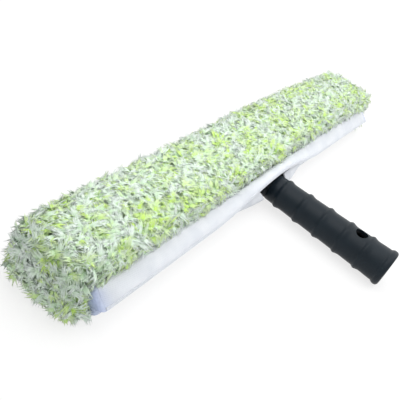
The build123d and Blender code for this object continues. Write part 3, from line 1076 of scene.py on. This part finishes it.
tufts = bpy.data.collections.new("tufts")
for seed in range(tuft_count):
    tuft = tuft_shape(seed)
    bpy.context.scene.collection.objects.unlink(tuft)
    tufts.objects.link(tuft)

# %% [markdown]
# Geometry Nodes plant these locks over a firm inner surface, the turf. Points are
# scattered no nearer than the spacing, and each gets one of the locks, turned, leaned
# and sized at random from fixed seeds. Locks that hang under the sleeve are shorter,
# because there is less room above the floor.

# %% Geometry Nodes: where the tufts stand
pile_tree, given, pile_ids = new_tree(
    "Field of tufts",
    {
        "Turf": "Geometry",
        "Tufts": "Collection",
        "Spacing": "Float",
        "Length": "Float",
        "Lean": "Float",
        "Seed": "Int",
        "Yarn": "Material",
    },
    "Pile",
)


def random_value(kind, low, high, seed):
    """Output of a Random Value node in the pile's tree."""
    sockets = {"Min": low, "Max": high, "Seed": seed}
    return result(add_node(pile_tree, "FunctionNodeRandomValue", sockets, data_type=kind))


def vector(x, y, z):
    """A vector from three numbers in the pile's tree."""
    return result(add_node(pile_tree, "ShaderNodeCombineXYZ", {"X": x, "Y": y, "Z": z}))


most_dense = 1500000.0  # points in a square metre, before the spacing thins them
scatter = add_node(
    pile_tree,
    "GeometryNodeDistributePointsOnFaces",
    {
        "Mesh": result(given, "Turf"),
        "Distance Min": result(given, "Spacing"),
        "Density Max": most_dense,
        "Seed": result(given, "Seed"),
    },
    distribute_method="POISSON",
)
bundle = add_node(
    pile_tree,
    "GeometryNodeCollectionInfo",
    {"Collection": result(given, "Tufts"), "Separate Children": True, "Reset Children": True},
)
lean, length = result(given, "Lean"), result(given, "Length")
less = calc(pile_tree, "MULTIPLY", lean, -1.0)
turn = random_value("FLOAT_VECTOR", vector(less, less, 0.0), vector(lean, lean, 2 * math.pi), 11)
turned_tuft = add_node(
    pile_tree,
    "FunctionNodeRotateRotation",
    {"Rotation": result(scatter, "Rotation"), "Rotate By": turn},
    rotation_space="LOCAL",
)
shorter, longer = (calc(pile_tree, "MULTIPLY", length, share) for share in (0.8, 1.15))
facing = add_node(pile_tree, "ShaderNodeSeparateXYZ", {0: result(scatter, "Normal")})
room = remap(pile_tree, result(facing, "Z"), source=(-0.8, -0.1), target=(0.5, 1))
planted = add_node(
    pile_tree,
    "GeometryNodeInstanceOnPoints",
    {
        "Points": result(scatter, "Points"),
        "Instance": result(bundle),
        "Pick Instance": True,
        "Instance Index": random_value("INT", 0, tuft_count - 1, 3),
        "Rotation": result(turned_tuft),
        "Scale": calc(pile_tree, "MULTIPLY", random_value("FLOAT", shorter, longer, 5), room),
    },
)
print("tree", pile_tree.name, len(pile_tree.nodes))

# %% [markdown]
# Each lock keeps its yarn's number: a random one, moved by a slow noise so that like
# colours gather in drifts. It also keeps the turf's direction, and its normals are
# turned partly that way, because soft fibres catch light as one surface.

# %% Geometry Nodes: the tufts' colour and softness
def stored(geometry, name, value, kind):
    """The instances, with a value that each keeps."""
    sockets = {"Geometry": geometry, "Name": name, "Value": value}
    settings = {"domain": "INSTANCE", "data_type": kind}
    return result(add_node(pile_tree, "GeometryNodeStoreNamedAttribute", sockets, **settings))


where = result(add_node(pile_tree, "GeometryNodeInputPosition"))
cluster = clouds(pile_tree, where, 75.0, 1.0)
drift = remap(pile_tree, cluster, source=(0.35, 0.65), target=(-0.5, 0.5))
dyed = calc(pile_tree, "ADD", random_value("FLOAT", 0.2, 0.8, 21), drift, clamp=True)
numbered = stored(result(planted), "yarn", dyed, "FLOAT")
raised = stored(numbered, "rising", result(scatter, "Normal"), "FLOAT_VECTOR")
real = add_node(pile_tree, "GeometryNodeRealizeInstances", {0: raised})

soft = 3 * mm  # yarn below this height is pressed together, and none of it passes the floor
where = add_node(pile_tree, "GeometryNodeInputPosition")
spot = add_node(pile_tree, "ShaderNodeSeparateXYZ", {0: result(where)})
under = calc(pile_tree, "SUBTRACT", result(spot, "Z"), soft)
depth = calc(pile_tree, "MINIMUM", calc(pile_tree, "DIVIDE", under, soft), 0.0)
pressed = calc(pile_tree, "EXPONENT", depth)
above = calc(pile_tree, "MULTIPLY_ADD", pressed, soft, calc(pile_tree, "MAXIMUM", under, 0.0))
position = vector(result(spot, "X"), result(spot, "Y"), above)
laid = add_node(
    pile_tree, "GeometryNodeSetPosition", {"Geometry": result(real), "Position": position}
)

own_way = result(add_node(pile_tree, "GeometryNodeInputNormal"))
turf_way = result(
    add_node(
        pile_tree, "GeometryNodeInputNamedAttribute", {"Name": "rising"}, data_type="FLOAT_VECTOR"
    )
)
softened = mix(pile_tree, 0.45, own_way, turf_way, kind="VECTOR")
softened = add_node(pile_tree, "ShaderNodeVectorMath", {0: softened}, operation="NORMALIZE")
lit = add_node(
    pile_tree,
    "GeometryNodeSetMeshNormal",
    {"Mesh": result(laid), "Custom Normal": result(softened)},
    mode="FREE",
    domain="POINT",
)
dressed = add_node(
    pile_tree, "GeometryNodeSetMaterial", {0: result(lit), "Material": result(given, "Yarn")}
)
add_node(pile_tree, "NodeGroupOutput", {0: result(dressed)})
print("tree", pile_tree.name, len(pile_tree.nodes))

# %% [markdown]
# The turf is the pile's outline drawn in by most of the tufts' length. It is a row of
# outlines along the bar, closed round the pocket at both ends. It sinks between
# staggered clumps, less deeply than the CAD solid does, and a slow noise moves it in
# and out, because real pile is never quite even. Its far end follows the sleeve's slump.

# %% Pile: the turf
clump_rows, clump_steps, clump_hollow = 46, 10, 1.2
half_pile = 222.7
unevenness = 0.8
wall_y, wall_bottom, wall_top = -9.1, 34.0, 36.5
top_z, front_y, under_z = 37.8, 35.4, 5
back_bend, front_bend, low_bend = (-5.1, 33.8, 4), (23.9, 26.3, 11.5), (26.9, 13.5, 8.5)
top_places, under_places = (0, 3, 6, 9, 12, 15, 18), (18, 9, 0)
clumps_from = 6  # the outline's point where the clumps start
clumps_to = {False: -6, True: -11}  # and where they stop, on an open or a closed outline


def turf_outline(draw_in, closed=False):
    """Outline across the bar, in millimetres, from the top seam round to the lower one."""
    d = draw_in
    points = [(wall_y + d, wall_bottom), (wall_y + d, wall_top)]
    y, z, radius = back_bend
    points += rounded_corner(y + d, z - d, radius, 180, 90, 4)
    points += [(y, top_z - d) for y in top_places]
    y, z, radius = front_bend
    points += rounded_corner(y - d, z - d, radius, 90, 0, 8)
    points += [(front_y - d, 23.5 - d / 2), (front_y - d, 20 - d / 2), (front_y - d, 16.5)]
    y, z, radius = low_bend
    points += rounded_corner(y - d, z + d / 2, radius, 0, -90, 6)
    points += [(y, under_z + d / 2) for y in under_places]
    if closed:
        back = ((-14, 8), (-14, 12), (-12.5, 15.5), (-10.5, 20), (-9.6, 24.5))
        points += [(-8 + d, under_z + d / 2), (-12 + d, 5.5 + d / 2)]
        points += [(y + d, z) for y, z in back]
    else:
        points += [(-8.3 + d, under_z + d / 2), (-9.3 + d, 7.2)]
    return points


def clump_depth(x, share):
    """How far the turf sinks at x and at a share of the way from the top to the underside."""
    row = clump_rows * (x + half_pile) / (2 * half_pile)
    step = clump_steps * share
    edge = max(0, min(1, row, clump_rows - row, step, clump_steps - step))
    return edge * clump_hollow * (1 - math.cos(math.pi * row) * math.cos(math.pi * step)) / 2


def turf_piece(name, places, closed=False):
    """Surface through outlines at places, each with how far it is drawn in."""
    points = []
    for x, draw_in in places:
        outline = turf_outline(draw_in, closed)
        gone = [0.0]
        for a, b in zip(outline, outline[1:]):
            gone.append(gone[-1] + math.dist(a, b))
        start, end = gone[clumps_from], gone[clumps_to[closed]]
        fallen = slump(x)
        for i, (y, z) in enumerate(outline):
            before, after = outline[max(0, i - 1)], outline[min(len(outline) - 1, i + 1)]
            away = Vector((0, before[1] - after[1], after[0] - before[0])).normalized()
            share = (gone[i] - start) / (end - start)
            uneven = unevenness * noise.noise(Vector((x / 22, y / 16, z / 16))) * (share < 1)
            lift = uneven - clump_depth(x, share)
            slipped = Vector((x, y - pile_slump * fallen, z - fallen * (z > 20)))
            points.append((slipped + away * lift) * mm)
    faces = faces_between(len(places), len(turf_outline(0, closed)), closed=closed)
    return new_piece(name, points, [(a, d, c, b) for a, b, c, d in faces], turf_cloth)


print("turf outline", len(turf_outline(0)), "points")

# %% Pile: planted over the turf
def plant(turf, name, spacing, length, lean, seed):
    """Tufts over a turf surface, as one mesh."""
    inputs = {"Tufts": tufts, "Spacing": spacing, "Length": length, "Lean": lean}
    inputs |= {"Seed": seed, "Yarn": pile_yarn}
    field = grown(name, turf.data.copy(), pile_tree, pile_ids, inputs)
    print(name, "triangles", sum(len(f.vertices) - 2 for f in field.data.polygons))
    return field


pile_pieces, turf_pieces = [], []
pile_count, turf_depth, turf_step = 8, -6.0, 3
limits = [-half_pile + 2 * half_pile * i / pile_count for i in range(pile_count + 1)]
for i in range(pile_count):
    places = [(x, turf_depth) for x in stations(limits[i], limits[i + 1], turf_step)]
    turf = turf_piece(f"turf_{i + 1}", places)
    turf_pieces.append(turf)
    pile_pieces.append(
        plant(turf, f"pile_{i + 1}", spacing=1.5 * mm, length=10.5 * mm, lean=0.18, seed=i + 1)
    )

# %% [markdown]
# The top row of yarn hangs back over the white band. It has a narrow turf of its own
# above the upper flap's seam, because it has to bend with that flap and not stay with
# the sleeve: locks that stayed would pierce the flap when it is turned up.

# %% Pile: locks that hang over the band
fringe_back, fringe_top, fringe_bottom = -15.1, 34.0, 28.8
fringe_places = stations(-half_pile, half_pile, 6)
fringe_points = [
    Vector((x, fringe_back - pile_slump * slump(x), z)) * mm
    for x in fringe_places
    for z in (fringe_top, fringe_bottom)
]
fringe_faces = [(2 * i + 1, 2 * i + 3, 2 * i + 2, 2 * i) for i in range(len(fringe_places) - 1)]
fringe_turf = new_piece("turf_fringe", fringe_points, fringe_faces, turf_cloth)
fringe = plant(
    fringe_turf, "pile_fringe", spacing=1.7 * mm, length=10.0 * mm, lean=0.35, seed=pile_count + 1
)

# %% [markdown]
# Both ends of the sleeve are domed, with pile all round them. The outlines are drawn in
# further and further along a quarter turn, and a last face closes the dome.

# %% Pile: both ends
dome_turns = (0, 20, 40, 60, 75, 85)  # degrees
dome_reach, dome_depth, dome_start = 12, 9, -4
end_seed = 20


def end_turf(name, side):
    """Domed turf over one end of the sleeve, closed at the back too."""
    places = []
    for turn in dome_turns:
        bend = math.radians(turn)
        draw_in = dome_depth * (1 - math.cos(bend)) + dome_start
        places.append((side * (half_pile + dome_reach * math.sin(bend)), draw_in))
    piece = turf_piece(name, places, closed=True)
    rows = len(turf_outline(0, closed=True))
    inner_point = Vector((side * 0.2, 0.005, 0.02))
    edit = bmesh.new()
    edit.from_mesh(piece.data)
    edit.verts.ensure_lookup_table()
    cap = edit.faces.new([edit.verts[(len(places) - 1) * rows + j] for j in range(rows)])
    bmesh.ops.triangulate(edit, faces=[cap])
    for face in edit.faces:
        if face.normal.dot(face.calc_center_median() - inner_point) < 0:
            face.normal_flip()
    edit.to_mesh(piece.data)
    edit.free()
    return piece


for side, word in both_sides:
    turf = end_turf(f"turf_end_{word}", side)
    turf_pieces.append(turf)
    seed = end_seed + side
    pile_pieces.append(
        plant(turf, f"pile_end_{word}", spacing=1.5 * mm, length=12.0 * mm, lean=0.3, seed=seed)
    )

# %% [markdown]
# Every soft piece stands for its CAD solid. The pile, turf, backing, end linings and seam
# stitches ride on the sleeve; the flaps, their hems, tapes and stitches and the fringe are baked in
# place.

# %% Riding with the sleeve, and baked in place
hooks = [tapes["hook", word] for side, word in both_sides]
loops = [tapes["loop", word] for side, word in both_sides]
for piece in [*pile_pieces, *turf_pieces, backing, *linings.values(), seam_stitches]:
    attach(piece, "sleeve")
for piece in (upper_flap, upper_hem, *hooks, upper_stitches, fringe, fringe_turf):
    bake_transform(piece)
for piece in (lower_flap, lower_hem, *loops):
    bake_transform(piece)

# %% Standing for the CAD solids
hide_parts("pile")
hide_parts("end_pile_left")
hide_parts("end_pile_right")
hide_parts("sleeve_backing")
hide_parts("end_lining_left")
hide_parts("end_lining_right")
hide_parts("upper_flap")
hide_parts("upper_flap_hem")
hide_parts("lower_flap")
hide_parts("lower_flap_hem")
for (kind, word), piece in tapes.items():
    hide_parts(f"{kind}_tape_{word}")
for slot, pieces in {
    "pile_fabric": (*pile_pieces, *turf_pieces, fringe, fringe_turf),
    "base_fabric": (backing, *linings.values(), seam_stitches),
    "tape_fabric": tapes.values(),
    "flap_fabric": (upper_flap, lower_flap),
    "hem_fabric": (upper_hem, lower_hem, upper_stitches),
}.items():
    for piece in pieces:
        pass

# %% [markdown]
# The lower flap and the end panels aren't rectangles, so their area is measured on one side.

# %% Sheets of cloth
def one_side(piece):
    """Area of one side of a thin piece, in square metres."""
    return sum(face.area for face in piece.data.polygons) / 2


for lining in linings.values():
    one_side(lining)
panel_areas = [round(one_side(lining), 5) for lining in linings.values()]
print("lower flap", round(one_side(lower_flap), 5), "end panels", panel_areas)

# %% [markdown]
# The floor is plain and white. For the camera it is mixed with a plain white glow,
# so that it reads as paper white and still keeps the washer's soft shadow.

# %% Floor
def white_ground(name, glow):
    """White ground, mixed with a white glow for the camera and for reflections."""
    material, tree, shader = new_material(name, Roughness=1.0, Specular_IOR_Level=0.0)
    shader.inputs["Base Color"].default_value = (0.92, 0.92, 0.92, 1)
    rays = add_node(tree, "ShaderNodeLightPath")
    camera_ray, glossy_ray, through_ray = (
        result(rays, f"Is {kind} Ray") for kind in ("Camera", "Glossy", "Transmission")
    )
    seen = calc(tree, "MAXIMUM", calc(tree, "MAXIMUM", camera_ray, glossy_ray), through_ray)
    share = calc(tree, "MULTIPLY", seen, glow)
    white = add_node(tree, "ShaderNodeEmission", {"Color": (1, 1, 1, 1), "Strength": 1.0})
    sockets = {0: share, 1: shader.outputs[0], 2: result(white)}
    both = add_node(tree, "ShaderNodeMixShader", sockets)
    wire(tree, tree.nodes["Material Output"], Surface=result(both))
    return material


floor_half = 6
signs = ((-1, -1), (1, -1), (1, 1), (-1, 1))
corners = [(x * floor_half, y * floor_half, 0) for x, y in signs]
floor = new_piece("floor", corners, [(0, 1, 2, 3)], white_ground("floor_white", glow=0.75))
print("floor", floor.name)

# %% [markdown]
# The world is white too. Its light on the washer is a little weaker than what the
# camera sees, so that the background is paper white and the pale cloth isn't burnt out.

# %% Backdrop
world_light = 0.75
world = bpy.data.worlds.new("world")
bpy.context.scene.world = world
world.use_nodes = True
sky = world.node_tree
background = sky.nodes["Background"]
background.inputs["Color"].default_value = (1, 1, 1, 1)
rays = add_node(sky, "ShaderNodeLightPath")
wire(sky, background, Strength=remap(sky, result(rays, "Is Camera Ray"), target=(world_light, 1)))
bpy.context.scene.view_settings.view_transform = "Standard"
print("backdrop ready")
